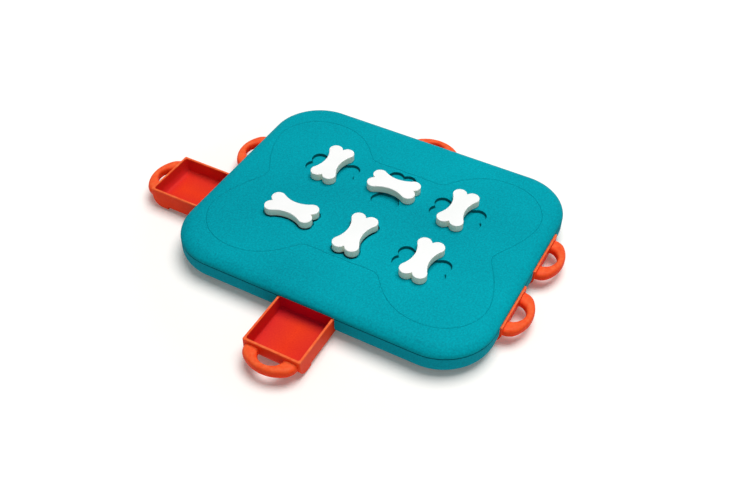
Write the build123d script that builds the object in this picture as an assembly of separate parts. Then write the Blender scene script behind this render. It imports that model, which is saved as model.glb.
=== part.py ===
from build123d import *
from math import atan2, cos, hypot, sin, sqrt
import os

# Treat puzzle board: six pull-out drawers in a flat case of two shells, and on top six turning
# bones, each with a bar inside that catches its drawer. Millimetres, +Z up, origin at the middle
# of the board on the surface that it stands on.

# Case
board_length = 300.0
board_width = 243.0
corner_radius = 48.0
base_height = 20.5              # underside to parting line
cover_height = 7.7              # parting line to top face
wall = 3.0
floor_thickness = 2.5
base_edge_radius = 11.5         # round lower edge
base_inner_slope = 6.0          # the same edge inside, a plain slope
cover_inner_slope = 6.5         # slope inside the soft top edge
cover_edge_width = 12.5         # how far the soft top edge reaches in from the side
cover_side_radius = 5.0         # its tight arc, next to the parting line
parting_height = 0.5            # shadow groove under the parting line
parting_depth = 0.6
lip_thickness = 1.6             # tongue of the cover that sits inside the base wall
lip_depth = 1.6
lip_clearance = 0.2
overrun = 2.0                   # how far cutters reach past a face

# Rubber feet
foot_height = 2.0
foot_diameter = 16.0
foot_pocket_depth = 1.0
foot_bevel = 0.6
foot_setback_x = 42.0           # corner feet, in from the sides
foot_setback_y = 48.0

# Bones and their recesses
bone_length = 48.0
bone_width = 25.3
bone_waist = 15.1
bone_lobe_radius = 6.5
bone_notch_radius = 1.4
bone_thickness = 7.4
recess_clearance = 1.2
recess_depth = 3.0
recess_floor = 2.6              # cover left under a recess
turn_gap = 0.3                  # bone over the top face
stem_diameter = 8.0
stem_clearance = 0.08
stem_tenon_width = 5.0          # square end of the stem, which carries the lock bar

# Lock bars
bar_length = 28.0
bar_width = 9.0
bar_thickness = 4.6
bar_gap = 0.3                   # bar under the cover, and over the catch posts
bar_key_clearance = 0.05
bar_end_bevel = 3.0

# Drawers
drawer_width = 54.0
drawer_length_share = 0.67      # of the way from the case side to the bone's axis
drawer_wall = 2.0
drawer_floor = 2.2
drawer_inner_radius = 2.0
drawer_travel_share = 0.6
panel_proud = 1.8               # closed panel in front of the case side
nose_length = 16.5              # deep front part, flush with the underside of the case
nose_radius = 12.0
slide_gap = 0.3                 # drawer over the case floor
rim_gap = 0.8                   # rim under the parting line
side_gap = 0.5

# Drawer handles
handle_width = 50.0
handle_reach = 16.5
handle_end_radius = 12.5
handle_hole_width = 23.0
handle_hole_reach = 10.0
handle_hole_end_radius = 7.0
handle_height = 8.8
handle_bevel = 2.4
handle_root = 1.8               # how far the ring runs into the panel
handle_level = 11.7             # middle of the ring over the nose's underside

# Drawer tails
tail_thickness = 3.0
post_thickness = 4.0
post_width = 6.0
post_side_gap = 0.6             # each post beside a bar that points along the drawer
catch_gap = 0.4                 # posts behind a bar that lies across
stop_gap = 0.3
stop_width = 36.0
stop_thickness = 3.0
stop_height = 7.0

# Bays in the base
rib_thickness = 2.0
rib_height = 11.5
stop_wall_height = 9.0
slot_side_gap = 1.0
bay_gap = 18.0                  # between the two bays of a short side

# Case screws
boss_diameter = 10.0
boss_split = 10.0               # height of the base's bosses over its underside
boss_setback_x = 62.0           # bosses, in from the sides
boss_setback_y = 33.5
case_screw_diameter = 3.0
case_screw_hole_clearance = 0.2
case_screw_thread_clearance = 0.05
case_screw_length = 16.0
case_screw_head_diameter = 6.0
case_screw_head_height = 2.2
counterbore_clearance = 0.5
counterbore_depth = 4.5

# Levels
z_under = foot_height
z_floor = z_under + floor_thickness
z_seam = z_under + base_height
z_top = z_seam + cover_height
z_recess = z_top - recess_depth
z_pad = z_recess - recess_floor
z_bar = z_pad - bar_gap
z_bar_under = z_bar - bar_thickness
z_bone = z_top + turn_gap
z_drawer = z_floor + slide_gap
z_rim = z_seam - rim_gap
z_inside = z_drawer + drawer_floor
z_post = z_bar_under - bar_gap
z_split = z_under + boss_split
z_screw_seat = z_under + counterbore_depth

# Rows and columns of the bones
bay_half = drawer_width / 2 + side_gap
bone_row = bay_half + bay_gap / 2
bone_setback = board_width / 2 - bone_row       # in from the side that the drawer opens through
bone_column = board_length / 2 - bone_setback
drawer_length = bone_setback * drawer_length_share
drawer_travel = bone_setback * drawer_travel_share

# Places along a bay, measured outwards from its bone
x_side = bone_setback
x_front = x_side + panel_proud
x_rear = x_front - drawer_length
x_keel = x_front - nose_length
x_stop_wall = x_rear - side_gap - rib_thickness
x_tail_stop = x_stop_wall - drawer_travel - stop_gap
x_post = -bar_width / 2 - catch_gap
post_inner = bar_width / 2 + post_side_gap
post_outer = post_inner + post_width
slot_half = post_outer + slot_side_gap

# Each bay: name, column and row of its bone, the way that its drawer opens, drawn out or not
bays = [
    ("left_back", -1, 1, 180, False),
    ("left_front", -1, -1, 180, True),
    ("back", 0, 1, 90, False),
    ("front", 0, -1, 270, True),
    ("right_back", 1, 1, 0, False),
    ("right_front", 1, -1, 0, False),
]

boss_column = board_length / 2 - boss_setback_x
boss_row = board_width / 2 - boss_setback_y
boss_places = [(sx * boss_column, sy * boss_row) for sx in (1, -1) for sy in (1, -1)]

foot_column = board_length / 2 - foot_setback_x
foot_row = board_width / 2 - foot_setback_y
foot_places = [(sx * foot_column, sy * foot_row) for sx in (1, -1) for sy in (1, -1)]
foot_places += [(0, 0)]


def bay_frame(column, row, direction):
    """Frame of one bay: origin on its bone's axis, X the way that its drawer opens."""
    return Pos(column * bone_column, row * bone_row, 0) * Rot(0, 0, direction)


def block(x0, x1, y0, y1, z0, z1):
    """A block between two corners."""
    size = Box(x1 - x0, y1 - y0, z1 - z0, align=(Align.MIN, Align.MIN, Align.MIN))
    return Pos(x0, y0, z0) * size


def pillar(radius, z0, z1):
    """An upright cylinder between two levels."""
    return Pos(0, 0, z0) * Cylinder(radius, z1 - z0, align=(Align.CENTER, Align.CENTER, Align.MIN))


def slab(section):
    """Carries half of an edge section round the board: turned at the corners, straight between."""
    half_x = board_length / 2 - corner_radius
    half_y = board_width / 2 - corner_radius
    box = section.bounding_box()
    corner = revolve(section, Axis.Z, 90)
    long_side = Pos(half_y, -half_x, 0) * extrude(section, 2 * half_x, dir=(0, 1, 0))
    short_side = Pos(half_x, -half_y, 0) * extrude(section, 2 * half_y, dir=(0, 1, 0))
    pieces = [block(-half_x, half_x, -half_y, half_y, box.min.Z, box.max.Z)]
    for turn, (sx, sy) in enumerate([(1, 1), (-1, 1), (-1, -1), (1, -1)]):
        pieces.append(Pos(sx * half_x, sy * half_y, 0) * Rot(0, 0, 90 * turn) * corner)
    for half_turn in (0, 180):
        pieces.append(Rot(0, 0, half_turn) * short_side)
        pieces.append(Rot(0, 0, half_turn + 90) * long_side)
    return Part() + pieces


def base_outer_section():
    """Flat underside, round lower edge, upright side and the shadow groove at the parting line."""
    side = corner_radius
    with BuildSketch(Plane.XZ) as sketch:
        with BuildLine():
            Line((0, z_under), (side - base_edge_radius, z_under))
            TangentArc((side - base_edge_radius, z_under), (side, z_under + base_edge_radius),
                       tangent=(1, 0))
            Polyline((side, z_under + base_edge_radius), (side, z_seam - parting_height),
                     (side - parting_depth, z_seam - parting_height), (side - parting_depth, z_seam),
                     (0, z_seam), (0, z_under))
        make_face()
    return sketch.sketch


def base_inner_section():
    """Room inside the base, open at the top."""
    side = corner_radius - wall
    with BuildSketch(Plane.XZ) as sketch:
        with BuildLine():
            Polyline((0, z_floor), (side - base_inner_slope, z_floor), (side, z_floor + base_inner_slope),
                     (side, z_seam + overrun), (0, z_seam + overrun), (0, z_floor))
        make_face()
    return sketch.sketch


def cover_outer_section():
    """Soft top edge of two tangent arcs, from upright at the parting line to level at the top."""
    reach = cover_edge_width - cover_side_radius
    crown = (reach**2 + cover_height**2 - cover_side_radius**2) / (2 * (cover_height - cover_side_radius))
    crown_x = corner_radius - cover_edge_width
    crown_z = z_top - crown
    share = crown / hypot(reach, z_seam - crown_z)
    join = (crown_x + reach * share, crown_z + (z_seam - crown_z) * share)
    with BuildSketch(Plane.XZ) as sketch:
        with BuildLine():
            side = TangentArc((corner_radius, z_seam), join, tangent=(0, 1))
            TangentArc(join, (crown_x, z_top), tangent=side % 1)
            Polyline((crown_x, z_top), (0, z_top), (0, z_seam), (corner_radius, z_seam))
        make_face()
    return sketch.sketch


def cover_inner_section():
    """Room inside the cover, open at the parting line."""
    side = corner_radius - wall
    z_roof = z_top - wall
    with BuildSketch(Plane.XZ) as sketch:
        with BuildLine():
            Polyline((0, z_seam), (side, z_seam), (side - cover_inner_slope, z_roof),
                     (0, z_roof), (0, z_seam))
        make_face()
    return sketch.sketch


def lip_section(inset):
    """Upright side of the cover's locating lip."""
    side = corner_radius - wall - inset
    with BuildSketch(Plane.XZ) as sketch:
        with BuildLine():
            Polyline((0, z_seam - lip_depth), (side, z_seam - lip_depth),
                     (side, z_seam + lip_depth), (0, z_seam + lip_depth), (0, z_seam - lip_depth))
        make_face()
    return sketch.sketch


def bone_face(grow):
    """Bone outline of four lobes and two hollow sides, each side an arc that touches its lobes."""
    along = bone_length / 2 - bone_lobe_radius
    across = bone_width / 2 - bone_lobe_radius
    lobe = bone_lobe_radius + grow
    waist = bone_waist / 2 + grow
    rise = waist - across
    hollow = (along**2 + rise**2 - lobe**2) / (2 * (lobe - rise))
    reach = hollow + lobe
    touch = (along - along * lobe / reach, across + (rise + hollow) * lobe / reach)
    notch = along + sqrt(lobe**2 - across**2)
    first = atan2(touch[1] - across, touch[0] - along)
    last = atan2(-across, notch - along)
    bulge = (along + lobe * cos((first + last) / 2), across + lobe * sin((first + last) / 2))
    outline = []
    for sy in (1, -1):
        hollow_points = [(-touch[0], touch[1]), (0, waist), touch]
        outline.append(ThreePointArc(*[(x, sy * y) for x, y in hollow_points]))
        for sx in (1, -1):
            lobe_points = [touch, bulge, (notch, 0)]
            outline.append(ThreePointArc(*[(sx * x, sy * y) for x, y in lobe_points]))
    face = make_face(outline)
    notches = face.vertices().group_by(lambda v: round(abs(v.Y), 3))[0]
    return fillet(notches, bone_notch_radius)


def bone_prism(grow, z0, z1):
    """Upright prism of the bone outline."""
    return Pos(0, 0, z0) * extrude(bone_face(grow), z1 - z0)


def oval_ring_end(width, reach, end_radius, x0):
    """Half oval of two end arcs and a crown arc, in front of a straight root at x0."""
    half = width / 2
    crown = (reach**2 + (half - end_radius)**2 - end_radius**2) / (2 * (reach - end_radius))
    span = hypot(reach - crown, half - end_radius)
    share = crown / span
    join = (x_front + (reach - crown) * (1 - share), (half - end_radius) * share)
    with BuildSketch() as sketch:
        with BuildLine():
            Polyline((x_front, -half), (x0, -half), (x0, half), (x_front, half))
            end = TangentArc((x_front, half), join, tangent=(1, 0))
            TangentArc(join, (join[0], -join[1]), tangent=end % 1)
            TangentArc((x_front, -half), (join[0], -join[1]), tangent=(1, 0))
        make_face()
    return sketch.sketch


def drawer_handle():
    """Half-round finger ring with bevelled edges, thicker at its two roots."""
    outer = oval_ring_end(handle_width, handle_reach, handle_end_radius, x_front - handle_root)
    hole = oval_ring_end(
        handle_hole_width, handle_hole_reach, handle_hole_end_radius, x_front - handle_root)
    ring = extrude(outer - hole, handle_height)
    level = [e for e in ring.edges() if e.bounding_box().size.Z < handle_root / 2]
    soft = [e for e in level if e.center().X > x_front - handle_root / 2]
    middle = z_under + handle_level
    return Pos(0, 0, middle - handle_height / 2) * chamfer(soft, handle_bevel)


def drawer_profile():
    """Side view of the drawer: level body, and a deep nose with a round lower front."""
    with BuildSketch(Plane.XZ) as sketch:
        with BuildLine():
            TangentArc((x_front - nose_radius, z_under), (x_front, z_under + nose_radius), tangent=(1, 0))
            Polyline((x_front, z_under + nose_radius), (x_front, z_rim), (x_rear, z_rim),
                     (x_rear, z_drawer), (x_keel, z_drawer), (x_keel, z_under),
                     (x_front - nose_radius, z_under))
        make_face()
    return sketch.sketch


def drawer_room():
    """Side view of the room inside: level floor that sweeps up behind the round nose."""
    inner = nose_radius - drawer_wall
    middle = (x_front - nose_radius, z_under + nose_radius)
    foot = (middle[0] + sqrt(inner**2 - (middle[1] - z_inside)**2), z_inside)
    head = (x_front - drawer_wall, middle[1])
    turn = atan2(foot[1] - middle[1], foot[0] - middle[0]) / 2
    half_way = (middle[0] + inner * cos(turn), middle[1] + inner * sin(turn))
    with BuildSketch(Plane.XZ) as sketch:
        with BuildLine():
            ThreePointArc(foot, half_way, head)
            Polyline(head, (head[0], z_rim + overrun), (x_rear + drawer_wall, z_rim + overrun),
                     (x_rear + drawer_wall, z_inside), foot)
        make_face()
    return sketch.sketch


def drawer():
    """Tray with nose, finger ring and the tail that runs under its bone, all one moulding."""
    body = extrude(drawer_profile(), drawer_width / 2, both=True)
    room = extrude(drawer_room(), drawer_width / 2 - drawer_wall, both=True)
    room = fillet(room.edges().filter_by(Axis.Z).group_by(Axis.X)[0], drawer_inner_radius)
    x_tail_end = x_tail_stop - stop_thickness
    x_tail_root = x_rear + drawer_wall / 2
    tail = block(x_tail_end, x_tail_root, -post_outer, post_outer, z_drawer, z_drawer + tail_thickness)
    half_stop = stop_width / 2
    stop = block(x_tail_end, x_tail_stop, -half_stop, half_stop, z_drawer, z_drawer + stop_height)
    parts = [tail, stop, drawer_handle()]
    for sy in (1, -1):
        y0, y1 = sorted((sy * post_inner, sy * post_outer))
        parts.append(block(x_post - post_thickness, x_post, y0, y1, z_drawer, z_post))
    return body - room + parts


def bone():
    """White bone with its stem: round through the cover, square below for the lock bar."""
    plate = bone_prism(0, z_bone, z_bone + bone_thickness)
    stem = pillar(stem_diameter / 2, z_bar, z_bone + bone_thickness / 2)
    half = stem_tenon_width / 2
    return plate + [stem, block(-half, half, -half, half, z_bar_under, z_bar + bar_gap)]


def lock_bar():
    """Turn bar with bevelled ends, keyed on the stem's square end."""
    half_x, half_y = bar_length / 2, bar_width / 2
    bar = block(-half_x, half_x, -half_y, half_y, z_bar_under, z_bar)
    bar = chamfer(bar.edges().filter_by(Axis.Z), bar_end_bevel)
    half = stem_tenon_width / 2 + bar_key_clearance
    return bar - block(-half, half, -half, half, z_bar_under - overrun, z_bar + overrun)


def rubber_feet():
    """Soft round feet, let into the underside."""
    foot = pillar(foot_diameter / 2, 0, foot_height + foot_pocket_depth)
    foot = chamfer(foot.edges().group_by(Axis.Z)[0], foot_bevel)
    return Part() + [Pos(x, y, 0) * foot for x, y in foot_places]


def case_screws():
    """Screws from below that hold the two shells together."""
    shank = pillar(case_screw_diameter / 2, z_screw_seat, z_screw_seat + case_screw_length)
    head = pillar(case_screw_head_diameter / 2, z_screw_seat - case_screw_head_height, z_screw_seat)
    return Part() + [Pos(x, y, 0) * (shank + head) for x, y in boss_places]


def base_tray():
    """Lower shell: six bays with guide ribs and stop walls, bosses, and pockets for the feet."""
    outer = slab(base_outer_section())
    shell = outer - slab(base_inner_section())
    z_root = z_floor - floor_thickness / 2
    bay_ribs = []
    for sy in (1, -1):
        y0, y1 = sorted((sy * bay_half, sy * (bay_half + rib_thickness)))
        bay_ribs.append(block(x_stop_wall, x_side - wall / 2, y0, y1, z_root, z_floor + rib_height))
        y0, y1 = sorted((sy * slot_half, sy * (bay_half + rib_thickness)))
        x_behind = x_stop_wall + rib_thickness
        bay_ribs.append(block(x_stop_wall, x_behind, y0, y1, z_root, z_floor + stop_wall_height))
    x_mouth = x_side - wall - base_edge_radius
    mouth = block(x_mouth, x_side + overrun, -bay_half, bay_half, z_floor, z_seam + overrun)
    keel_way = block(x_keel - side_gap, x_side + overrun, -bay_half, bay_half, z_under - overrun, z_seam)
    cross_half = bay_gap / 2                    # cross wall between the two bays of a short side
    x_cross = bone_column + x_stop_wall
    z_cross = z_floor + stop_wall_height
    cross = block(x_cross, x_cross + rib_thickness, -cross_half, cross_half, z_root, z_cross)
    added, cut = [cross, Rot(0, 0, 180) * cross], []
    for name, column, row, direction, drawn in bays:
        frame = bay_frame(column, row, direction)
        added += [frame * rib for rib in bay_ribs]
        cut += [frame * mouth, frame * keel_way]
    hole_radius = case_screw_diameter / 2 + case_screw_hole_clearance
    hole = pillar(hole_radius, z_under - overrun, z_split + overrun)
    counterbore_radius = case_screw_head_diameter / 2 + counterbore_clearance
    counterbore = pillar(counterbore_radius, z_under - overrun, z_screw_seat)
    for x, y in boss_places:
        added.append(Pos(x, y, 0) * pillar(boss_diameter / 2, z_root, z_split))
        cut += [Pos(x, y, 0) * hole, Pos(x, y, 0) * counterbore]
    pocket = pillar(foot_diameter / 2, z_under - overrun, z_under + foot_pocket_depth)
    cut += [Pos(x, y, 0) * pocket for x, y in foot_places]
    return ((shell + added) & outer) - cut      # ribs end flush with the round lower edge


def top_cover():
    """Upper shell: soft edge all round, a bone recess over each lock bar, bosses and a locating lip."""
    shell = slab(cover_outer_section()) - slab(cover_inner_section())
    lip = slab(lip_section(lip_clearance)) - slab(lip_section(lip_clearance + lip_thickness))
    gate = bay_half + rib_thickness + lip_thickness
    lip_cut = block(x_stop_wall, x_side + overrun, -gate, gate, z_under, z_top)
    frames = [bay_frame(column, row, direction) for name, column, row, direction, drawn in bays]
    lip -= [frame * lip_cut for frame in frames]
    pad_x = bone_length / 2 + recess_clearance + wall
    pad_y = bone_width / 2 + recess_clearance + wall
    pad = block(-pad_x, pad_x, -pad_y, pad_y, z_pad, z_top - wall / 2)
    recess = bone_prism(recess_clearance, z_recess, z_top + overrun)
    bore = pillar(stem_diameter / 2 + stem_clearance, z_pad - overrun, z_top)
    added = [lip] + [frame * pad for frame in frames]
    cut = [frame * cutter for frame in frames for cutter in (recess, bore)]
    thread_radius = case_screw_diameter / 2 + case_screw_thread_clearance
    thread = pillar(thread_radius, z_split - overrun, z_screw_seat + case_screw_length)
    for x, y in boss_places:
        added.append(Pos(x, y, 0) * pillar(boss_diameter / 2, z_split, z_top - wall / 2))
        cut.append(Pos(x, y, 0) * thread)
    return shell + added - cut


nodes = {
    "base_tray": base_tray(),
    "top_cover": top_cover(),
    "case_screws": case_screws(),
    "rubber_feet": rubber_feet(),
}
one_drawer, one_bone, one_bar = drawer(), bone(), lock_bar()
for name, column, row, direction, drawn in bays:
    frame = bay_frame(column, row, direction)
    pulled = Pos(drawer_travel if drawn else 0, 0, 0)
    turned = Rot(0, 0, 0 if drawn else 90)
    nodes[f"drawer_{name}"] = frame * pulled * one_drawer
    nodes[f"bone_{name}"] = frame * turned * one_bone
    nodes[f"lock_bar_{name}"] = frame * turned * one_bar

os.makedirs("parts", exist_ok=True)
for node, solid in nodes.items():
    export_step(solid, f"parts/{node}.step")
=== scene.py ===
import math

import bmesh
import bpy
import numpy as np
from mathutils import Matrix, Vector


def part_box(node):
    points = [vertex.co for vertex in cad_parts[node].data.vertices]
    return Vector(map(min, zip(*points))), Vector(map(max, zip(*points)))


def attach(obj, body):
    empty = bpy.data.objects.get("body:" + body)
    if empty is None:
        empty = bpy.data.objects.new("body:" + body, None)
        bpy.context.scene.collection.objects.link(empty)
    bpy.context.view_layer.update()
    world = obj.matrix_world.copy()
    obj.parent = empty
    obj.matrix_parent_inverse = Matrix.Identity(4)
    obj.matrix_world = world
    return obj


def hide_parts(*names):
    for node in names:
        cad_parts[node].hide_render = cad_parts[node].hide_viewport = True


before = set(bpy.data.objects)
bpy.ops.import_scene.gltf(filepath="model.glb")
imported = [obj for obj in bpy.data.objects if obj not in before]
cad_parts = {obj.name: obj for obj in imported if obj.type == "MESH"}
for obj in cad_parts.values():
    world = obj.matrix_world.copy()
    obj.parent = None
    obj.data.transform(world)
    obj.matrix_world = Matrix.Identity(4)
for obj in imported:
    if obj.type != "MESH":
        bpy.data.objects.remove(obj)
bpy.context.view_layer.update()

mm = 0.001
scene = bpy.context.scene
scene.view_settings.view_transform = "Standard"
meshForm = {"merge": 0.002, "sliver": 0.0005, "onLevel": 0.01}
bayForm = {
    "names": ["left_back", "left_front", "back", "front", "right_back", "right_front"],
    "boneAlong": 30.0}                              # a bone longer than this along the slide lies along it


# quads between neighbouring rows of a grid of points, every row closing on itself
def rowQuads(rows, count):
    index = np.arange(rows * count).reshape(rows, count)
    after = np.roll(index, -1, axis=1)
    return np.stack([index[:-1], after[:-1], after[1:], index[1:]], axis=-1).reshape(-1, 4)


# a flat loop (count, 2) lifted to the level z, or to one level per point
def lift(loop, z):
    return np.column_stack([loop, np.broadcast_to(z, len(loop))])


# the loop drawn together to a line along x, ends pulled in by the margin, which closes a cap
def toSpine(loop, margin):
    x = np.clip(loop[:, 0], loop[:, 0].min() + margin, loop[:, 0].max() - margin)
    return np.column_stack([x, np.full(len(x), loop[:, 1].mean()), loop[:, 2]])


# unit normals of a closed loop: the step from one neighbour to the other turned a quarter clockwise, which points
# outwards on a loop that runs anticlockwise
def outward(loop):
    along = np.roll(loop, -1, axis=0) - np.roll(loop, 1, axis=0)
    along /= np.linalg.norm(along, axis=1, keepdims=True) + 1e-12
    return np.column_stack([along[:, 1], -along[:, 0]])


# quarter circle in steps: the radius times 1 - sine and times 1 - cosine of the angle
def quarterRound(radius, steps):
    a = np.linspace(0, math.pi / 2, steps)
    return radius * (1 - np.sin(a)), radius * (1 - np.cos(a))


# rectangle with round corners: quarter circles about the corner centres, straight sides between them
def roundedRect(x0, x1, y0, y1, radius, corner, shareX, shareY):
    a = np.linspace(0, math.pi / 2, corner)
    arc = radius * np.column_stack([np.cos(a), np.sin(a)])
    turned = np.column_stack([-arc[:, 1], arc[:, 0]])
    xs = x1 - radius - (x1 - x0 - 2 * radius) * shareX
    ys = y1 - radius - (y1 - y0 - 2 * radius) * shareY
    return np.concatenate([
        arc + (x1 - radius, y1 - radius), np.column_stack([xs, np.full(len(xs), y1)]),
        turned + (x0 + radius, y1 - radius), np.column_stack([np.full(len(ys), x0), ys]),
        -arc + (x0 + radius, y0 + radius), np.column_stack([xs[::-1], np.full(len(xs), y0)]),
        -turned + (x1 - radius, y0 + radius), np.column_stack([np.full(len(ys), x1), ys[::-1]])])


# block with soft edges: rounded rectangles stacked in z, their inset following a quarter circle at both ends
def softBlock(x0, x1, y0, y1, z0, z1, soft):
    inward, up = quarterRound(soft, 4)
    inset = np.concatenate([inward, inward[::-1]])
    level = np.concatenate([z0 + up, z1 - up[::-1]])
    share = np.linspace(0, 1, 6)[1:-1]
    corner = soft * 1.02 - inset * 0.98             # a hair over the inset, so no corner folds
    rows = [lift(roundedRect(x0 + d, x1 - d, y0 + d, y1 - d, r, 4, share, share), z)
            for d, r, z in zip(inset, corner, level)]
    margin = min(x1 - x0, y1 - y0) * 0.3            # the cap ends in a line, short of the sides
    rows = [toSpine(rows[0], margin), *rows, toSpine(rows[-1], margin)]
    edge = np.array([0, 0.4, 1, 0.4, 0.1, 0.1, 0.4, 1, 0.4, 0])
    return np.array(rows), edge


# solid of revolution about z at (x, y): every (radius, height) pair of the profile swept round a circle
def lathe(x, y, profile, count=40):
    a = np.linspace(0, 2 * math.pi, count, endpoint=False)
    radius, height = np.array(profile, float).T
    ring = np.stack([x + radius[:, None] * np.cos(a), y + radius[:, None] * np.sin(a),
                     np.broadcast_to(height[:, None], (len(radius), count))], axis=-1)
    return ring, np.zeros(len(radius))


# joins the (rows, edge weight per row or per point) pairs into one mesh in metres: quads row by row, doubles merged,
# open flats at the given levels filled, faces turned outwards
def makeMesh(name, shells, sharpAngle, fillLevels=()):
    points = np.concatenate([rows.reshape(-1, 3) for rows, edge in shells]) * mm
    weight = np.concatenate([(edge.reshape(len(edge), -1) + np.zeros(rows.shape[:2])).ravel()
                             for rows, edge in shells])
    starts = np.cumsum([0] + [rows.shape[0] * rows.shape[1] for rows, edge in shells[:-1]])
    quads = np.concatenate([rowQuads(*rows.shape[:2]) + start for (rows, edge), start in zip(shells, starts)])
    mesh = bpy.data.meshes.new(name)
    mesh.from_pydata(points, [], quads)
    mesh.attributes.new("edge", "FLOAT", "POINT").data.foreach_set("value", weight.astype(np.float32))
    bm = bmesh.new()
    bm.from_mesh(mesh)
    bmesh.ops.remove_doubles(bm, verts=bm.verts, dist=meshForm["merge"] * mm)
    bmesh.ops.dissolve_degenerate(bm, edges=bm.edges, dist=meshForm["sliver"] * mm)
    for level in fillLevels:
        rim = [e for e in bm.edges
               if e.is_boundary and abs(e.verts[0].co.z - level * mm) < meshForm["onLevel"] * mm]
        bmesh.ops.triangle_fill(bm, use_beauty=True, edges=rim)
    bmesh.ops.recalc_face_normals(bm, faces=bm.faces)
    openEdges = sum(e.is_boundary for e in bm.edges)
    bm.to_mesh(mesh)
    bm.free()
    mesh.shade_smooth()
    mesh.set_sharp_from_angle(angle=math.radians(sharpAngle))
    if openEdges:
        print("  open edges in", name, openEdges)
    return mesh


# puts a mesh into the scene on its CAD body, in place of the CAD node
def addPiece(name, mesh, material, body, node):
    piece = bpy.data.objects.new(name, mesh)
    scene.collection.objects.link(piece)
    mesh.materials.append(material)
    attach(piece, body)
    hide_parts(node)


# a bay read off the CAD boxes: the bone's middle, the main direction from there to the drawer's middle, how far out the
# drawer's tip is, and whether the bone's long side lies along the slide
def readBay(name):
    boneLow, boneHigh = [np.array(c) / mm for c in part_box("bone_" + name)]
    drawLow, drawHigh = [np.array(c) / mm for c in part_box("drawer_" + name)]
    centre = ((boneLow + boneHigh) / 2)[:2]
    away = ((drawLow + drawHigh) / 2)[:2] - centre
    direction = np.round(away / np.abs(away).max())
    tip = max(np.dot(drawLow[:2] - centre, direction), np.dot(drawHigh[:2] - centre, direction))
    size = np.abs(boneHigh - boneLow)[:2]
    return {"centre": centre, "direction": direction, "tip": tip,
            "boneAlong": size[int(abs(direction[1]) > 0.5)] > bayForm["boneAlong"]}


# rows in a bay's own axes (x along the slide, from the bone's axis): shifted outwards, turned to the slide's direction
# and moved to the bone's middle
def inBay(rows, bay, shift=0.0, quarterTurn=False):
    c, s = bay["direction"]
    x, y, z = rows[..., 0] + shift, rows[..., 1], rows[..., 2]
    if quarterTurn:
        x, y = -y, x
    return np.stack([bay["centre"][0] + c * x - s * y, bay["centre"][1] + s * x + c * y, z], axis=-1)


bays = {name: readBay(name) for name in bayForm["names"]}
print("bays read")


# a shader node with its settings, and fixed values for its inputs by label or number
def newNode(tree, kind, inputs=None, **settings):
    node = tree.nodes.new(kind)
    for key, value in settings.items():
        setattr(node, key, value)
    for label, value in (inputs or {}).items():
        node.inputs[label].default_value = value
    return node


# an empty shader group with number sockets, {label: value} in and labels out, and its two end nodes
def newGroup(name, inputs, outputs):
    tree = bpy.data.node_groups.new(name, "ShaderNodeTree")
    for label, value in inputs.items():
        tree.interface.new_socket(label, in_out="INPUT", socket_type="NodeSocketFloat").default_value = value
    for label in outputs:
        tree.interface.new_socket(label, in_out="OUTPUT", socket_type="NodeSocketFloat")
    return tree, newNode(tree, "NodeGroupInput"), newNode(tree, "NodeGroupOutput")


# one number worked out of two: the product, sum or other operation of both outputs
def combine(tree, operation, first, second):
    node = newNode(tree, "ShaderNodeMath", operation=operation)
    tree.links.new(first, node.inputs[0])
    tree.links.new(second, node.inputs[1])
    return node.outputs["Value"]


# fine moulded grain: noise as a height for the bump, slow noise as a drift of tone, and flecks near the middles of
# Voronoi cells, in the cells whose own random red is high
def grainGroup():
    tree, given, out = newGroup(
        "mouldedGrain", {"Grain Scale": 900.0, "Drift Scale": 14.0, "Fleck Scale": 700.0, "Fleck Size": 0.16},
        ["Height", "Drift", "Flecks"])
    link = tree.links.new
    coord = newNode(tree, "ShaderNodeTexCoord").outputs["Object"]
    grain = newNode(tree, "ShaderNodeTexNoise", {"Detail": 3.0})
    drift = newNode(tree, "ShaderNodeTexNoise", {"Detail": 2.0})
    cells = newNode(tree, "ShaderNodeTexVoronoi")
    for node, scale in ((grain, "Grain Scale"), (drift, "Drift Scale"), (cells, "Fleck Scale")):
        link(coord, node.inputs["Vector"])
        link(given.outputs[scale], node.inputs["Scale"])
    near = newNode(tree, "ShaderNodeMapRange", {"From Min": 0.0, "To Min": 1.0, "To Max": 0.0},
                   interpolation_type="SMOOTHSTEP")
    link(cells.outputs["Distance"], near.inputs["Value"])
    link(given.outputs["Fleck Size"], near.inputs["From Max"])
    few = newNode(tree, "ShaderNodeSeparateColor")
    link(cells.outputs["Color"], few.inputs["Color"])
    some = newNode(tree, "ShaderNodeMath", {1: 0.62}, operation="GREATER_THAN")     # about four cells in ten
    link(few.outputs["Red"], some.inputs[0])
    link(grain.outputs["Fac"], out.inputs["Height"])
    link(drift.outputs["Fac"], out.inputs["Drift"])
    link(combine(tree, "MULTIPLY", near.outputs["Result"], some.outputs["Value"]), out.inputs["Flecks"])
    return tree


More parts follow.
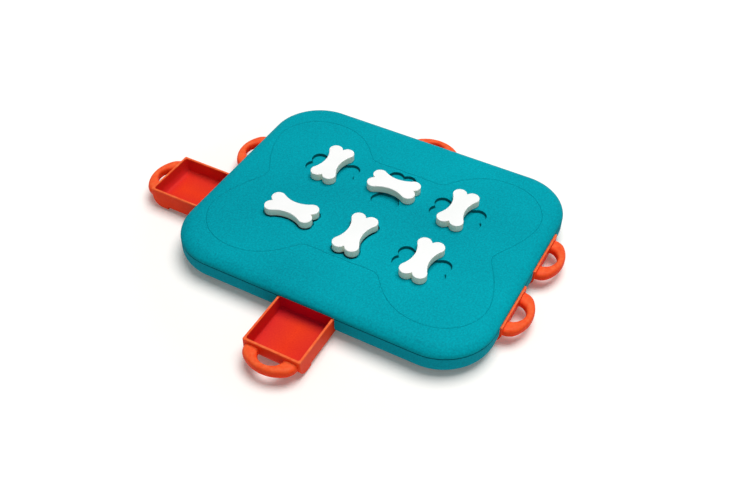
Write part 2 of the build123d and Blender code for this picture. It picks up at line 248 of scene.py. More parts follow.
# wear and painted shading along edges: the mesh's edge weight times noise times the amount is wear where it is above
# nought, and the weight with its sign turned is painted shading where it is below: painted shade on the teal and the
# orange, painted warm light on the bone sides
def wearAndShadingGroup():
    tree, given, out = newGroup("edgeWearAndShading", {"Break Up": 260.0, "Amount": 1.0}, ["Mask", "Painted Shading"])
    link = tree.links.new
    weight = newNode(tree, "ShaderNodeAttribute", attribute_name="edge").outputs["Fac"]
    noise = newNode(tree, "ShaderNodeTexNoise", {"Detail": 4.0})
    link(newNode(tree, "ShaderNodeTexCoord").outputs["Object"], noise.inputs["Vector"])
    link(given.outputs["Break Up"], noise.inputs["Scale"])
    broken = newNode(tree, "ShaderNodeMapRange", {"From Min": 0.3, "From Max": 0.7, "To Min": 0.35})
    link(noise.outputs["Fac"], broken.inputs["Value"])
    scaled = newNode(tree, "ShaderNodeMath", operation="MULTIPLY", use_clamp=True)
    link(combine(tree, "MULTIPLY", weight, broken.outputs["Result"]), scaled.inputs[0])
    link(given.outputs["Amount"], scaled.inputs[1])
    link(scaled.outputs["Value"], out.inputs["Mask"])
    # painted shading: the edge weight below nought, its sign turned
    below = newNode(tree, "ShaderNodeMath", {1: -1.0}, operation="MULTIPLY", use_clamp=True)
    link(weight, below.inputs[0])
    link(below.outputs["Value"], out.inputs["Painted Shading"])
    return tree


# shade that gathers in a level joint: the height's distance from the joint's level, smoothed to a narrow band and
# broken up a little by noise
def seamGroup():
    tree, given, out = newGroup("seamShade", {"Level": 0.0, "Half Height": 0.001}, ["Mask"])
    link = tree.links.new
    coord = newNode(tree, "ShaderNodeTexCoord").outputs["Object"]
    split = newNode(tree, "ShaderNodeSeparateXYZ")
    link(coord, split.inputs["Vector"])
    far = newNode(tree, "ShaderNodeMath", operation="ABSOLUTE")
    link(combine(tree, "SUBTRACT", split.outputs["Z"], given.outputs["Level"]), far.inputs[0])
    band = newNode(tree, "ShaderNodeMapRange", {"From Min": 0.0, "To Min": 1.0, "To Max": 0.0},
                   interpolation_type="SMOOTHSTEP")
    link(far.outputs["Value"], band.inputs["Value"])
    link(given.outputs["Half Height"], band.inputs["From Max"])
    noise = newNode(tree, "ShaderNodeTexNoise", {"Scale": 180.0})
    link(coord, noise.inputs["Vector"])
    patchy = newNode(tree, "ShaderNodeMapRange", {"From Min": 0.3, "From Max": 0.6, "To Min": 0.55})
    link(noise.outputs["Fac"], patchy.inputs["Value"])
    link(combine(tree, "MULTIPLY", band.outputs["Result"], patchy.outputs["Result"]), out.inputs["Mask"])
    return tree


grainNodes = grainGroup()
wearAndShadingNodes = wearAndShadingGroup()
seamNodes = seamGroup()
print("shader groups made")


# colour as seen on a screen (0 to 255) to linear light: divided by 12.92 near black, else the power 2.4
def srgb(r, g, b):
    c = np.array([r, g, b]) / 255
    linear = np.where(c <= 0.04045, c / 12.92, ((c + 0.055) / 1.055) ** 2.4)
    return (*linear, 1.0)


# one colour laid over another by a mask: under times (1 - mask) plus colour times mask
def layOver(tree, under, colour, mask):
    mix = newNode(tree, "ShaderNodeMix", {7: srgb(*colour)}, data_type="RGBA")
    tree.links.new(under, mix.inputs[6])
    tree.links.new(mask, mix.inputs["Factor"])
    return mix.outputs[2]


# one material: two tones mixed by grain and drift, then flecks, worn edges (on the orange also a painted highlight),
# painted shading and painted shade in a joint laid over, and the grain's height into roughness and bump
def makeMaterial(name, look):
    material = bpy.data.materials.new(name)
    material.use_nodes = True
    tree = material.node_tree
    link = tree.links.new
    shader = tree.nodes["Principled BSDF"]
    grain = newNode(tree, "ShaderNodeGroup", node_tree=grainNodes)
    for label, key in (("Grain Scale", "grainScale"), ("Drift Scale", "driftScale"),
                       ("Fleck Scale", "fleckScale"), ("Fleck Size", "fleckSize")):
        grain.inputs[label].default_value = look[key]
    wear = newNode(tree, "ShaderNodeGroup", node_tree=wearAndShadingNodes)
    wear.inputs["Amount"].default_value = look["wear"]
    share = look["grainTone"]                       # how much the grain tells beside the drift
    blend = newNode(tree, "ShaderNodeMath", {1: share}, operation="MULTIPLY_ADD")
    link(grain.outputs["Height"], blend.inputs[0])
    link(grain.outputs["Drift"], blend.inputs[2])
    spread = newNode(tree, "ShaderNodeMapRange", {"From Min": 0.3 * (1 + share), "From Max": 0.7 * (1 + share)})
    link(blend.outputs["Value"], spread.inputs["Value"])
    tone = newNode(tree, "ShaderNodeMix", {6: srgb(*look["deep"]), 7: srgb(*look["light"])}, data_type="RGBA")
    link(spread.outputs["Result"], tone.inputs["Factor"])
    colour = layOver(tree, tone.outputs[2], look["fleck"], grain.outputs["Flecks"])
    # wear colour; on the orange it is also a painted highlight on the rims and the ring tops
    colour = layOver(tree, colour, look["wearAndPaintedLight"], wear.outputs["Mask"])
    # painted shading: painted shade in hollows and inside the trays, painted warm light on the bone sides
    if "paintedShading" in look:
        colour = layOver(tree, colour, look["paintedShading"], wear.outputs["Painted Shading"])
    # painted shade in the joint between cover and base, picked out by height
    if "seam" in look:
        seam = newNode(tree, "ShaderNodeGroup", node_tree=seamNodes)
        seam.inputs["Level"].default_value = look["seamLevel"] * mm
        seam.inputs["Half Height"].default_value = look["seamHalf"] * mm
        colour = layOver(tree, colour, look["seam"], seam.outputs["Mask"])
    link(colour, shader.inputs["Base Color"])
    rough = newNode(tree, "ShaderNodeMapRange", {"To Min": look["rough"][0], "To Max": look["rough"][1]})
    link(grain.outputs["Height"], rough.inputs["Value"])
    link(rough.outputs["Result"], shader.inputs["Roughness"])
    bump = newNode(tree, "ShaderNodeBump", {"Strength": look["bump"], "Distance": look["bumpDepth"] * mm})
    link(grain.outputs["Height"], bump.inputs["Height"])
    link(bump.outputs["Normal"], shader.inputs["Normal"])
    shader.inputs["Metallic"].default_value = look.get("metallic", 0.0)
    shader.inputs["Specular IOR Level"].default_value = look["specular"]
    return material


tealLook = {
    "deep": (0, 131, 147), "light": (0, 174, 188), "fleck": (64, 190, 198), "wearAndPaintedLight": (16, 170, 182),
    "grainScale": 700.0, "driftScale": 9.0, "fleckScale": 620.0, "fleckSize": 0.15, "grainTone": 2.0,
    "wear": 0.4, "rough": (0.6, 0.8), "bump": 0.4, "bumpDepth": 0.16, "specular": 0.03,
    # the next two colours are painted shade: in the recesses, along the engraved line and towards the sides, and in the
    # joint
    "paintedShading": (0, 100, 108), "seam": (0, 58, 68), "seamLevel": 22.3, "seamHalf": 0.75}
shadedBaseLook = {**tealLook, "deep": (0, 120, 139), "light": (0, 162, 179), "wearAndPaintedLight": (8, 162, 175)}   # lower shell: the same teal painted darker, as painted shade on its side band
orangeLook = {
    # the wear colour here is also a painted highlight on the rims and the ring tops
    "deep": (230, 46, 13), "light": (248, 74, 24), "fleck": (246, 94, 46), "wearAndPaintedLight": (248, 128, 74),
    "grainScale": 700.0, "driftScale": 16.0, "fleckScale": 500.0, "fleckSize": 0.06, "grainTone": 0.9,
    "wear": 0.85, "rough": (0.36, 0.5), "bump": 0.2, "bumpDepth": 0.08, "specular": 0.06,
    # the last colour is painted shade inside the trays, deepest towards the rear
    "paintedShading": (192, 13, 48)}
boneLook = {
    "deep": (241, 243, 241), "light": (250, 250, 249), "fleck": (236, 238, 236), "wearAndPaintedLight": (254, 254, 253),
    "grainScale": 800.0, "driftScale": 22.0, "fleckScale": 420.0, "fleckSize": 0.07, "grainTone": 0.3,
    "wear": 0.6, "rough": (0.36, 0.5), "bump": 0.14, "bumpDepth": 0.05, "specular": 0.3,
    # the last colour is painted warm light on the bone's sides
    "paintedShading": (252, 246, 226)}
barLook = {
    "deep": (196, 198, 196), "light": (218, 219, 216), "fleck": (228, 228, 226), "wearAndPaintedLight": (232, 232, 230),
    "grainScale": 600.0, "driftScale": 30.0, "fleckScale": 500.0, "fleckSize": 0.08, "grainTone": 0.4,
    "wear": 0.5, "rough": (0.42, 0.6), "bump": 0.2, "bumpDepth": 0.06, "specular": 0.4}
steelLook = {
    "deep": (150, 152, 156), "light": (186, 188, 192), "fleck": (205, 207, 210), "wearAndPaintedLight": (214, 216, 220),
    "grainScale": 1800.0, "driftScale": 120.0, "fleckScale": 900.0, "fleckSize": 0.08, "grainTone": 0.6,
    "wear": 0.8, "rough": (0.24, 0.42), "bump": 0.15, "bumpDepth": 0.03, "specular": 0.5, "metallic": 1.0}
rubberLook = {
    "deep": (38, 39, 41), "light": (52, 53, 55), "fleck": (70, 71, 72), "wearAndPaintedLight": (84, 85, 86),
    "grainScale": 1500.0, "driftScale": 60.0, "fleckScale": 800.0, "fleckSize": 0.1, "grainTone": 0.6,
    "wear": 0.6, "rough": (0.7, 0.9), "bump": 0.4, "bumpDepth": 0.1, "specular": 0.3}

tealComposite = makeMaterial("tealComposite", tealLook)
tealShadedBase = makeMaterial("tealShadedBase", shadedBaseLook)
orangePlastic = makeMaterial("orangePlastic", orangeLook)
whiteBone = makeMaterial("whiteBone", boneLook)
barPlastic = makeMaterial("barPlastic", barLook)
screwSteel = makeMaterial("screwSteel", steelLook)
footRubber = makeMaterial("footRubber", rubberLook)
print("materials made")

boneForm = {
    "length": 48.0, "width": 25.3, "waist": 15.1, "lobe": 6.5, "under": 30.5, "top": 37.9, "topSoft": 0.5,
    "underSoft": 0.6, "coreShare": 0.72, "coreHalf": 13.0, "stem": 4.0, "stemUnder": 24.3, "stemTop": 32.0,
    "tenon": 2.5, "tenonUnder": 19.7, "tenonInto": 0.7, "stemSoft": 0.3, "sharp": 40,
    "sideShadingAndWear": [-0.6, -0.8, -1, -1, -1, -1, -1, -0.6, 0, 0.4, 0.6, 0.3]}      # painted warm light down the side and its lower round, worn top edge


# bone outline: the waist's hollow arc runs into a round lobe by tangent circles, one quarter mirrored to four, then
# spaced evenly and evened out by a running mean that rounds the notch between two lobes
def boneOutline(grow, count):
    along = boneForm["length"] / 2 - boneForm["lobe"]
    across = boneForm["width"] / 2 - boneForm["lobe"]
    lobe = boneForm["lobe"] + grow
    waist = boneForm["waist"] / 2 + grow
    rise = waist - across
    hollow = (along**2 + rise**2 - lobe**2) / (2 * (lobe - rise))
    toHollow = math.atan2(waist + hollow - across, -along)
    bend = np.linspace(-math.pi / 2, toHollow - math.pi, 60)
    bulge = np.linspace(toHollow, -math.asin(across / lobe), 120)[1:]
    quarter = np.concatenate([
        np.column_stack([hollow * np.cos(bend), waist + hollow + hollow * np.sin(bend)]),
        np.column_stack([along + lobe * np.cos(bulge), across + lobe * np.sin(bulge)])])
    lower = (quarter * (1, -1))[::-1]
    loop = np.concatenate([quarter, lower, -quarter, -lower])[::-1]
    step = np.linalg.norm(np.diff(loop, axis=0, append=loop[:1]), axis=1)
    place = np.concatenate([[0], np.cumsum(step)])
    finer, reach = 8, 10                            # points per point kept, and half the mean's width in them
    even = np.linspace(0, place[-1], count * finer, endpoint=False)
    closed = np.vstack([loop, loop[:1]])
    fine = np.column_stack([np.interp(even, place, closed[:, 0]), np.interp(even, place, closed[:, 1])])
    fine = np.mean([np.roll(fine, k, axis=0) for k in range(-reach, reach + 1)], axis=0)
    return fine[::finer]


# bone plate: its outline carried up the side, rounded in at both edges, closed by drawing it to the bone's axis
def boneRows():
    form = boneForm
    outline = boneOutline(0.0, 180)
    normal = outward(outline)
    underIn, underUp = quarterRound(form["underSoft"], 6)
    topDown, topIn = quarterRound(form["topSoft"], 6)
    inset = np.concatenate([underIn, topIn])
    level = np.concatenate([form["under"] + underUp, form["top"] - topDown])
    rows = [lift(outline - normal * d, z) for d, z in zip(inset, level)]
    axisX = np.clip(outline[:, 0] * form["coreShare"], -form["coreHalf"], form["coreHalf"])
    core = np.column_stack([axisX, np.zeros(len(outline))])
    shares = np.array([0.06, 0.2, 0.5, 0.8, 1.0])
    topLoop = rows[-1][:, :2]
    top = [lift(topLoop * (1 - f) + core * f, form["top"]) for f in shares]
    under = lift(core, form["under"])
    return np.array([under, *rows, *top]), np.concatenate([[0.0], form["sideShadingAndWear"], np.zeros(len(shares))])


plate = boneRows()
stemR, stemZ, half, soft = [boneForm[k] for k in ("stem", "stemUnder", "tenon", "stemSoft")]
stem = lathe(0, 0, [(0, stemZ), (stemR - soft, stemZ), (stemR, stemZ + soft), (stemR, boneForm["stemTop"]),
                    (0, boneForm["stemTop"])], 48)
tenon = softBlock(-half, half, -half, half, boneForm["tenonUnder"], stemZ + boneForm["tenonInto"], soft)
for name, bay in bays.items():
    shells = [(inBay(rows, bay, quarterTurn=not bay["boneAlong"]), edge) for rows, edge in (plate, stem, tenon)]
    mesh = makeMesh("boneLook." + name, shells, boneForm["sharp"])
    addPiece("boneLook." + name, mesh, whiteBone, "bone_" + name, "bone_" + name)
print("bones made")

drawerForm = {
    "half": 27.0, "rear": 29.85, "front": 86.8, "keel": 70.3, "under": 2.0, "body": 4.8, "rim": 21.7,
    "inside": 7.0, "wall": 2.0, "nose": 12.0, "corner": 0.9, "innerCorner": 2.0, "leastCorner": 0.05,
    "leastInner": 0.4, "soft": 0.5, "rimSoft": 0.4, "floorSoft": 1.3, "noseFrom": 0.32, "upperRows": [14.5, 17.0],
    "wallFrom": 1.2, "underMargin": 3.0, "floorMargin": 8.0, "sharp": 42,
    # edge weights: wear on the lower edge, wear and a painted highlight on the rim; below nought painted shade on the
    # inner wall, darker further down, on the floor's round, on the floor and most towards the rear
    "wear": {"lowerEdge": 0.3, "rimTopWearAndHighlight": 1.0, "rimSideWearAndHighlight": 0.5, "rimCrest": 0.32, "wall": -0.4, "wallShadePerMm": -0.015,
             "floorRoundShade": -0.5, "floor": -0.15, "rear": -0.45, "rearShadeFrom": 14.0, "rearShadeOver": 12.0}}
handleForm = {
    "width": 50.0, "reach": 16.5, "end": 12.5, "holeWidth": 23.0, "holeReach": 10.0, "holeEnd": 7.0,
    "height": 8.8, "middle": 13.7, "root": 1.8, "roundness": 2.9, "topHighlight": 0.7}
tailForm = {
    "end": -26.95, "stop": -23.95, "half": 11.1, "thick": 3.0, "stopHalf": 18.0, "stopHigh": 7.0,
    "postNear": -4.9, "postFar": -8.9, "postIn": 5.1, "postTop": 19.4, "into": 1.3, "soft": 0.4}


# tray: rounded rectangles carried up the outer wall, over the rim, down the inner wall to the floor; the front is held
# inside the nose's circle x = centre + root(r^2 - (centre z - z)^2), the underside steps up behind the keel
def trayRows():
    form, wearAndPaintedLight = drawerForm, drawerForm["wear"]
    span = form["front"] - form["rear"] - 2 * form["corner"]
    keelShare = (form["front"] - form["corner"] - form["keel"]) / span
    shareX = np.sort(np.concatenate([
        np.linspace(0.015, keelShare - 0.015, 14), [keelShare - 0.001, keelShare + 0.001],
        np.linspace(keelShare + 0.02, 0.985, 12)]))
    shareY = np.linspace(0, 1, 16)[1:-1]
    noseX = form["front"] - form["nose"]
    noseZ = form["under"] + form["nose"]

    # the outline at one inset, its level a function of x, cut off at the nose's circle, which the wall makes smaller
    def loopAt(inset, level, wall):
        radius = max(form["corner"] - inset, form["leastCorner"])
        if wall:
            radius = max(form["innerCorner"] - (inset - wall), form["leastInner"])
        loop = roundedRect(form["rear"] + inset, form["front"] - inset, -form["half"] + inset,
                           form["half"] - inset, radius, 5, shareX, shareY)
        z = level(loop[:, 0])
        drop = np.clip(noseZ - z, 0, form["nose"] - wall)
        limit = noseX + np.sqrt((form["nose"] - wall) ** 2 - drop**2) - max(inset - wall, 0)
        return np.column_stack([np.minimum(loop[:, 0], limit), loop[:, 1], z])

    # underside: low in front of the keel's step, higher behind it
    def bottom(x):
        return np.where(x < form["keel"], form["body"], form["under"])

    rows, edge = [], []
    for d, up in zip(*quarterRound(form["soft"], 5)):                                  # lower edge
        rows.append(loopAt(d, lambda x: bottom(x) + up, 0))
        edge.append(wearAndPaintedLight["lowerEdge"])
    turn = np.linspace(form["noseFrom"], math.pi / 2, 11)
    climb = np.concatenate([form["nose"] * (1 - np.cos(turn)), form["upperRows"]])
    high = form["rim"] - form["under"]
    for climbed in climb:                                                              # outer wall
        rows.append(loopAt(0, lambda x: bottom(x) + (form["rim"] - bottom(x)) * climbed / high, 0))
        edge.append(0.0)
    wall = form["wall"]
    away, along = quarterRound(form["rimSoft"], 5)
    # rim weights: wear and a painted highlight, strongest on the crest
    for d, down in zip(along, away):                                                   # rim, outside half
        rows.append(loopAt(d, lambda x: form["rim"] - down + 0 * x, 0))
        edge.append(wearAndPaintedLight["rimTopWearAndHighlight"] if down < wearAndPaintedLight["rimCrest"] else wearAndPaintedLight["rimSideWearAndHighlight"])
    for d, down in zip(wall - away, along):                                            # rim, inside half
        rows.append(loopAt(d, lambda x: form["rim"] - down + 0 * x, wall))
        edge.append(wearAndPaintedLight["rimTopWearAndHighlight"] if down < wearAndPaintedLight["rimCrest"] else wearAndPaintedLight["rimSideWearAndHighlight"])
    for z in np.linspace(form["rim"] - form["wallFrom"], form["inside"] + form["floorSoft"], 10):  # inner wall
        rows.append(loopAt(wall, lambda x: z + 0 * x, wall))
        # painted shade on the inner wall, darker further down
        edge.append(wearAndPaintedLight["wall"] + wearAndPaintedLight["wallShadePerMm"] * (form["rim"] - z))
    away, along = quarterRound(form["floorSoft"], 5)
    for d, up in zip(wall + along[1:], away[1:]):                                      # round into the floor
        rows.append(loopAt(d, lambda x: form["inside"] + up + 0 * x, wall))
        # painted shade in the floor's round
        edge.append(wearAndPaintedLight["floorRoundShade"])
    rows = np.array([toSpine(rows[0], form["underMargin"]), *rows, toSpine(rows[-1], form["floorMargin"])])
    # painted shade on the floor
    weight = np.array([0.0, *edge, wearAndPaintedLight["floor"]])[:, None] + np.zeros(rows.shape[:2])
    rearShade = np.clip((form["rear"] + wearAndPaintedLight["rearShadeFrom"] - rows[..., 0]) / wearAndPaintedLight["rearShadeOver"], 0, 1)
    return rows, np.where(weight < 0, weight + wearAndPaintedLight["rear"] * rearShade, weight)          # more painted shade towards the rear end


# half oval as a function of its normal's angle: small end circles near +-90 degrees, a wide crown circle between
def halfOval(width, reach, end, angle):
    half = width / 2
    crown = (reach**2 + (half - end) ** 2 - end**2) / (2 * (reach - end))
    joint = math.atan2(half - end, crown - reach)
    side = np.sign(angle)
    isEnd = np.abs(angle) > joint
    x = np.where(isEnd, end * np.cos(angle), reach - crown + crown * np.cos(angle))
    y = np.where(isEnd, side * (half - end) + end * np.sin(angle), crown * np.sin(angle))
    return np.column_stack([x, y])


# finger ring: a rounded section (superellipse) carried round the half oval, as wide as the gap between the outer curve
# and the hole's curve at the same normal; the two ends run straight on into the panel
def ringRows():
    form = handleForm
    angle = np.linspace(math.pi / 2, -math.pi / 2, 81)
    outer = halfOval(form["width"], form["reach"], form["end"], angle)
    hole = halfOval(form["holeWidth"], form["holeReach"], form["holeEnd"], angle)
    sunk = (-form["root"], 0)
    outer = np.vstack([outer[0] + sunk, outer, outer[-1] + sunk])
    hole = np.vstack([hole[0] + sunk, hole, hole[-1] + sunk])
    t = np.linspace(0, 2 * math.pi, 36, endpoint=False)
    power = 2 / form["roundness"]
    u = np.sign(np.cos(t)) * np.abs(np.cos(t)) ** power
    v = np.sign(np.sin(t)) * np.abs(np.sin(t)) ** power
    middle, halfGap = (outer + hole) / 2, (outer - hole) / 2
    flat = middle[:, None, :] + halfGap[:, None, :] * u[None, :, None]
    z = form["middle"] + form["height"] / 2 * np.broadcast_to(v, flat.shape[:2])
    rows = np.concatenate([flat, z[..., None]], axis=-1)
    rows[..., 0] += drawerForm["front"]
    first, last = [np.broadcast_to(r.mean(0), r.shape) for r in (rows[0], rows[-1])]
    # painted highlight: the ring's upper side takes the wear colour, most on top
    shadingWeight = np.clip(v, 0, 1) ** 2 * form["topHighlight"]
    return np.concatenate([[first], rows, [last]]), np.broadcast_to(shadingWeight, (len(rows) + 2, len(v)))


# tail: a flat tongue behind the tray, a cross stop at its end and two catch posts, all soft blocks
def tailShells():
    form, low = tailForm, drawerForm["body"]
    shells = [
        softBlock(form["end"], drawerForm["rear"] + form["into"], -form["half"], form["half"],
                  low, low + form["thick"], form["soft"]),
        softBlock(form["end"], form["stop"], -form["stopHalf"], form["stopHalf"],
                  low, low + form["stopHigh"], form["soft"])]
    for side in (1, -1):
        near, far = sorted((side * form["postIn"], side * form["half"]))
        shells.append(softBlock(form["postFar"], form["postNear"], near, far, low, form["postTop"], form["soft"]))
    return shells


drawerShells = [trayRows(), ringRows(), *tailShells()]
closedTip = drawerForm["front"] + handleForm["reach"]
for name, bay in bays.items():
    shells = [(inBay(rows, bay, bay["tip"] - closedTip), edge) for rows, edge in drawerShells]
    mesh = makeMesh("drawerLook." + name, shells, drawerForm["sharp"])
    addPiece("drawerLook." + name, mesh, orangePlastic, "drawer_" + name, "drawer_" + name)
print("drawers made")

coverForm = {
    "halfX": 150.0, "halfY": 121.5, "corner": 48.0, "seam": 22.5, "top": 30.2, "wall": 3.0, "edgeWidth": 12.5,
    "sideRadius": 5.0, "innerSlope": 6.5, "recess": 27.2, "recessRoom": 1.2, "recessSoft": 0.25,
    "recessApron": 0.5, "recessFoot": 0.3, "recessFloor": 0.9, "seamInset": 0.25, "flatFrom": 0.5, "pad": 24.6,
    "padX": 28.2, "padY": 16.85, "bore": 4.08, "bossRadius": 5.0, "bossUnder": 12.0, "screwBore": 1.55,
    "boreTop": 23.0, "bossPlaces": [(88, 88), (-88, 88), (-88, -88), (88, -88)], "sharp": 34,
    # painted shade on the soft edge, darker towards the side; recess weights: wear on the rim, painted shade down the
    # wall
    "sidePaintedShade": -0.22, "recessWearAndShade": [0, 0.2, 0.5, 0.5, 0, -0.8, -1, -1, 0, 0, 0, 0, 0]}
lineForm = {
    "half": 0.5, "depth": 0.4, "shoulder": 2.2, "evenOver": (3, 2),
    "quarter": [
        (0, 64.4), (19.5, 64.4), (28, 64.5), (35.6, 64.8), (38.4, 66.2), (42.4, 71.4), (47.9, 78.9), (54.3, 85.1),
        (62.8, 90.9), (71.9, 95.2), (81.3, 97.4), (89, 98), (98, 97.5), (108, 95), (118, 90), (127, 81.5), (133, 71.4),
        (135.6, 61.9), (135.6, 53.5), (133.3, 42.1), (128.9, 29.5), (123.9, 19), (118.7, 10), (115.7, 4.6), (114.3, 0)],
    # line weights: wear on the shoulders, painted shade down in the hollow
    "wear": [0, 0.2, 0.1, -0.1, -0.25, -0.3, -0.25, -0.1, 0.1, 0.2, 0]}


# the board's outline drawn in by an even inset, its corner circles smaller by as much
def boardLoop(inset):
    form = coverForm
    return roundedRect(-form["halfX"] + inset, form["halfX"] - inset, -form["halfY"] + inset, form["halfY"] - inset,
                       form["corner"] - inset, 26, np.linspace(0, 1, 42)[1:-1], np.linspace(0, 1, 30)[1:-1])


# engraved line: radius as a function of the angle round the middle, through the quarter's points mirrored to four,
# evened out by a running mean and read off at the angles given
def lineLoop(angle):
    quarter = np.array(lineForm["quarter"], float)
    full = np.concatenate([quarter * (sx, sy) for sx in (1, -1) for sy in (1, -1)])
    around = np.arctan2(full[:, 1], full[:, 0])
    fine = np.linspace(-math.pi, math.pi, 1440, endpoint=False)
    order = np.argsort(around)
    radius = np.interp(fine, around[order], np.hypot(full[:, 0], full[:, 1])[order], period=2 * math.pi)
    for reach in lineForm["evenOver"]:
        radius = np.mean([np.roll(radius, k) for k in range(-reach, reach + 1)], axis=0)
    r = np.interp(angle, fine, radius, period=2 * math.pi)
    return np.column_stack([r * np.cos(angle), r * np.sin(angle)])


# rim, soft edge and engraved line: the board's outline inset along two tangent arcs, small at the side and wide at the
# crown, then drawn to the line's own loop and carried across its round hollow, depth times (1 - t^2)^2
def coverSkin():
    form = coverForm
    across = form["edgeWidth"] - form["sideRadius"]
    high = form["top"] - form["seam"]
    crown = (across**2 + high**2 - form["sideRadius"] ** 2) / (2 * (high - form["sideRadius"]))
    crownZ = form["top"] - crown
    joint = math.atan2(form["seam"] - crownZ, across)
    a = np.linspace(0, math.pi / 2, 22)
    inset = np.where(a < joint, form["sideRadius"] * (1 - np.cos(a)), form["edgeWidth"] - crown * np.cos(a))
    level = np.where(a < joint, form["seam"] + form["sideRadius"] * np.sin(a), crownZ + crown * np.sin(a))
    roof = form["top"] - form["wall"]
    rows = [lift(boardLoop(form["wall"] + form["innerSlope"]), roof), lift(boardLoop(form["wall"]), form["seam"]),
            lift(boardLoop(form["seamInset"]), form["seam"])]
    rows += [lift(boardLoop(d), z) for d, z in zip(inset[1:], level[1:])]
    last = lift(boardLoop(form["edgeWidth"] + form["flatFrom"]), form["top"])
    line = lineLoop(np.arctan2(last[:, 1], last[:, 0]))
    normal = outward(line)
    t = np.concatenate([[-lineForm["shoulder"]], np.linspace(-1, 1, 9), [lineForm["shoulder"]]])
    dip = lineForm["depth"] * np.clip(1 - t * t, 0, 1) ** 2
    rows += [last] + [lift(line - normal * lineForm["half"] * s, form["top"] - d) for s, d in zip(t, dip)]
    shadingWeight = form["sidePaintedShade"] * np.cos(a[1:]) ** 2                                   # painted shade, darker towards the side
    return np.array(rows), np.concatenate([[0, 0, 0.2], shadingWeight, [0], lineForm["wear"]])


# recess for one bone: the bone's outline with room round it goes over a soft rim, down the wall and in over the floor
# to the stem's bore, down the bore and out under the pad to the roof
def recessRows():
    form = coverForm
    count = 160
    room, floor = form["recessRoom"], form["recess"]
    away, down = quarterRound(form["recessSoft"], 5)
    rows = [lift(boneOutline(room + form["recessSoft"] + form["recessApron"], count), form["top"])]
    rows += [lift(boneOutline(room + d, count), form["top"] - z) for d, z in zip(away, down)]
    wall = boneOutline(room, count)
    foot = form["recessFoot"]
    rows += [lift(wall, floor + foot), lift(boneOutline(room - foot, count), floor),
             lift(boneOutline(room - form["recessFloor"], count), floor)]
    angle = np.arctan2(wall[:, 1], wall[:, 0])
    spoke = np.column_stack([np.cos(angle), np.sin(angle)])
    bore = form["bore"] * spoke
    reach = np.minimum(form["padX"] / (np.abs(spoke[:, 0]) + 1e-9), form["padY"] / (np.abs(spoke[:, 1]) + 1e-9))
    padLoop = reach[:, None] * spoke
    rows += [lift(bore, floor), lift(bore, form["pad"]), lift(padLoop, form["pad"]),
             lift(padLoop, form["top"] - form["wall"])]
    # recess weights: wear on the rim, painted shade down the wall and at the floor's edge
    return np.array(rows), np.array(form["recessWearAndShade"])


recess, recessEdge = recessRows()
shells = [coverSkin()] + [(inBay(recess, bay), recessEdge) for bay in bays.values()]
roofLevel = coverForm["top"] - coverForm["wall"]
bossR, boreR, low, boreTop = [coverForm[k] for k in ("bossRadius", "screwBore", "bossUnder", "boreTop")]
bossProfile = [(0, boreTop), (boreR, boreTop), (boreR, low), (bossR, low), (bossR, roofLevel)]
shells += [lathe(x, y, bossProfile) for x, y in coverForm["bossPlaces"]]
coverMesh = makeMesh("coverLook", shells, coverForm["sharp"], fillLevels=(coverForm["top"], roofLevel))
addPiece("coverLook", coverMesh, tealComposite, "board", "top_cover")
print("cover made")


# a CAD node keeps its shape and only takes a material
def paintNode(node, material):
    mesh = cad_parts[node].data
    mesh.materials.clear()
    mesh.materials.append(material)


paintNode("base_tray", tealShadedBase)
for name in bayForm["names"]:
    paintNode("lock_bar_" + name, barPlastic)

screwForm = {
    "under": 4.3, "seat": 6.5, "headRadius": 3.0, "radius": 1.45, "length": 16.0, "point": 2.5,
    "tipRadius": 0.5, "tipHigh": 0.4, "slot": 0.5, "slotSide": 0.12, "slotReach": 1.75, "slotEnd": 0.3,
    "slotDeep": 1.0, "flat": 2.0, "edgeRadii": [2.3, 2.6, 2.85, 3.0, 3.0],
    "edgeRise": [0.05, 0.15, 0.4, 0.8, 2.2], "wear": 0.3, "sharp": 40}
footForm = {
    "radius": 8.0, "high": 3.0, "soft": 0.7, "dish": 5.5, "lip": 6.1, "dishDeep": 0.3, "sharp": 40,
    "places": [(108, 73.5), (-108, 73.5), (-108, -73.5), (108, -73.5), (0, 0)]}


# pan head seen from below with a cross recess: rings out to the head's edge, their depth cut where the ring comes
# within half a slot of either arm; the shank is a plain turned rod with a point
def screwRows(x, y):
    form = screwForm
    count, flatRings = 48, 14
    a = np.linspace(0, 2 * math.pi, count, endpoint=False)
    radius = np.concatenate([np.linspace(0, form["flat"], flatRings), form["edgeRadii"]])
    px, py = radius[:, None] * np.cos(a), radius[:, None] * np.sin(a)
    arm = np.minimum(np.abs(px), np.abs(py))
    cut = np.clip((form["slot"] - arm) / form["slotSide"], 0, 1)
    cut *= np.clip((form["slotReach"] - radius[:, None]) / form["slotEnd"], 0, 1)
    dome = np.concatenate([np.zeros(flatRings), form["edgeRise"]])[:, None]
    z = form["under"] + dome + form["slotDeep"] * cut
    head = np.stack([x + px, y + py, z], axis=-1)
    tip = form["seat"] + form["length"]
    rod, weight = lathe(x, y, [
        (form["headRadius"], form["seat"]), (form["radius"], form["seat"]), (form["radius"], tip - form["point"]),
        (form["tipRadius"], tip - form["tipHigh"]), (0, tip)], count)
    return np.concatenate([head, rod]), np.concatenate([np.full(len(head), form["wear"]), weight])


mesh = makeMesh("screwLook", [screwRows(x, y) for x, y in coverForm["bossPlaces"]], screwForm["sharp"])
addPiece("screwLook", mesh, screwSteel, "board", "case_screws")

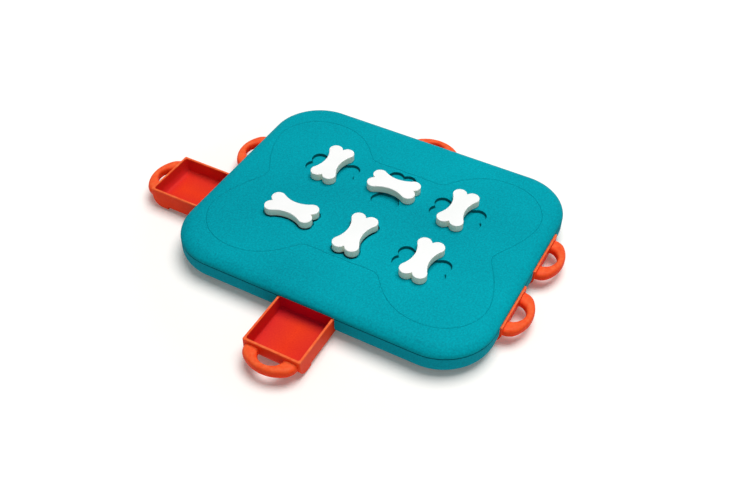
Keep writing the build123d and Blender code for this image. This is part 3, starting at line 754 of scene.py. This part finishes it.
footR, footTop, dishDeep = footForm["radius"], footForm["high"], footForm["dishDeep"]
footIn, footUp = quarterRound(footForm["soft"], 7)
footProfile = [(0, dishDeep), (footForm["dish"], dishDeep), (footForm["lip"], 0.0), *zip(footR - footIn, footUp),
               (footR, footTop), (0, footTop)]
mesh = makeMesh("footLook", [lathe(x, y, footProfile, 56) for x, y in footForm["places"]], footForm["sharp"])
addPiece("footLook", mesh, footRubber, "board", "rubber_feet")
print("small pieces made")

stageForm = {
    "floor": (0.95, 0.928, 0.895, 1), "floorHalf": 4.0, "floorRough": 0.9, "floorSpecular": 0.1,
    "liftColour": (1.0, 0.94, 0.87, 1), "floorLift": (0.1, 1.0), "liftFrom": 0.2, "liftTo": 0.9, "skyLight": 0.16}
lampForm = {
    "overhead": {"place": (0.25, 0.52, 2.6), "size": 2.0, "power": 70.0},
    "fill": {"place": (0.6, -1.7, 0.5), "size": 1.0, "power": 2.6}}


# 1 for a ray that looks at the backdrop, straight from the camera or by way of gloss or glass, 0 for plain light: the
# largest of the three flags
def lookingRay(tree):
    path = newNode(tree, "ShaderNodeLightPath")
    ray = path.outputs["Is Camera Ray"]
    for kind in ("Is Glossy Ray", "Is Transmission Ray"):
        ray = combine(tree, "MAXIMUM", ray, path.outputs[kind])
    return ray


floorMaterial = bpy.data.materials.new("paleFloor")
floorMaterial.use_nodes = True
tree = floorMaterial.node_tree
floorShader = tree.nodes["Principled BSDF"]
floorShader.inputs["Base Color"].default_value = stageForm["floor"]
floorShader.inputs["Emission Color"].default_value = stageForm["liftColour"]
floorShader.inputs["Roughness"].default_value = stageForm["floorRough"]
floorShader.inputs["Specular IOR Level"].default_value = stageForm["floorSpecular"]
far = newNode(tree, "ShaderNodeVectorMath", operation="LENGTH")
tree.links.new(newNode(tree, "ShaderNodeTexCoord").outputs["Object"], far.inputs[0])
nearLift, farLift = stageForm["floorLift"]          # more lift further out, where the lamps don't reach
fade = newNode(tree, "ShaderNodeMapRange", {"From Min": stageForm["liftFrom"], "From Max": stageForm["liftTo"],
                                            "To Min": nearLift, "To Max": farLift})
tree.links.new(far.outputs["Value"], fade.inputs["Value"])
seenLift = combine(tree, "MULTIPLY", lookingRay(tree), fade.outputs["Result"])     # the object gets no more light
tree.links.new(seenLift, floorShader.inputs["Emission Strength"])
reach = stageForm["floorHalf"]
floorMesh = bpy.data.meshes.new("floor")
floorMesh.from_pydata([(-reach, -reach, 0), (reach, -reach, 0), (reach, reach, 0), (-reach, reach, 0)],
                      [], [(0, 1, 2, 3)])
floorMesh.materials.append(floorMaterial)
floor = bpy.data.objects.new("floor", floorMesh)
scene.collection.objects.link(floor)

world = bpy.data.worlds.new("studio")
scene.world = world
world.use_nodes = True
tree = world.node_tree
dim = tree.nodes["Background"]
dim.inputs["Color"].default_value = (1, 1, 1, 1)
dim.inputs["Strength"].default_value = stageForm["skyLight"]
white = newNode(tree, "ShaderNodeBackground", {"Color": (1, 1, 1, 1), "Strength": 1.0})
pick = newNode(tree, "ShaderNodeMixShader")
tree.links.new(lookingRay(tree), pick.inputs["Fac"])
tree.links.new(dim.outputs["Background"], pick.inputs[1])
tree.links.new(white.outputs["Background"], pick.inputs[2])
tree.links.new(pick.outputs["Shader"], tree.nodes["World Output"].inputs["Surface"])

for name, form in lampForm.items():                 # round soft lamps, aimed at the board's middle
    lamp = bpy.data.lights.new(name, "AREA")
    lamp.shape = "DISK"
    lamp.size = form["size"]
    lamp.energy = form["power"]
    holder = bpy.data.objects.new(name, lamp)
    holder.location = form["place"]
    holder.rotation_euler = (-holder.location).to_track_quat("-Z", "Y").to_euler()
    scene.collection.objects.link(holder)

viewForm = {
    "azimuth": 27.27, "elevation": 44.62, "roll": 1.387, "place": (0.2914, -0.5635, 0.6099), "lens": 45.8,
    "sensor": 36.0, "nearest": 0.05}
az, el, roll = [math.radians(viewForm[k]) for k in ("azimuth", "elevation", "roll")]
back = np.array([math.sin(az) * math.cos(el), -math.cos(az) * math.cos(el), math.sin(el)])
right = np.array([math.cos(az), math.sin(az), 0.0])
up = np.cross(back, right)
turnedRight = math.cos(roll) * right + math.sin(roll) * up
turnedUp = -math.sin(roll) * right + math.cos(roll) * up
camera = bpy.data.objects.new("camera", bpy.data.cameras.new("camera"))
camera.data.lens = viewForm["lens"]
camera.data.sensor_width = viewForm["sensor"]
camera.data.sensor_fit = "HORIZONTAL"
camera.data.clip_start = viewForm["nearest"]
rotation = Matrix([turnedRight, turnedUp, back]).transposed().to_4x4()
camera.matrix_world = Matrix.Translation(viewForm["place"]) @ rotation
scene.collection.objects.link(camera)
scene.camera = camera
print("light and camera set")
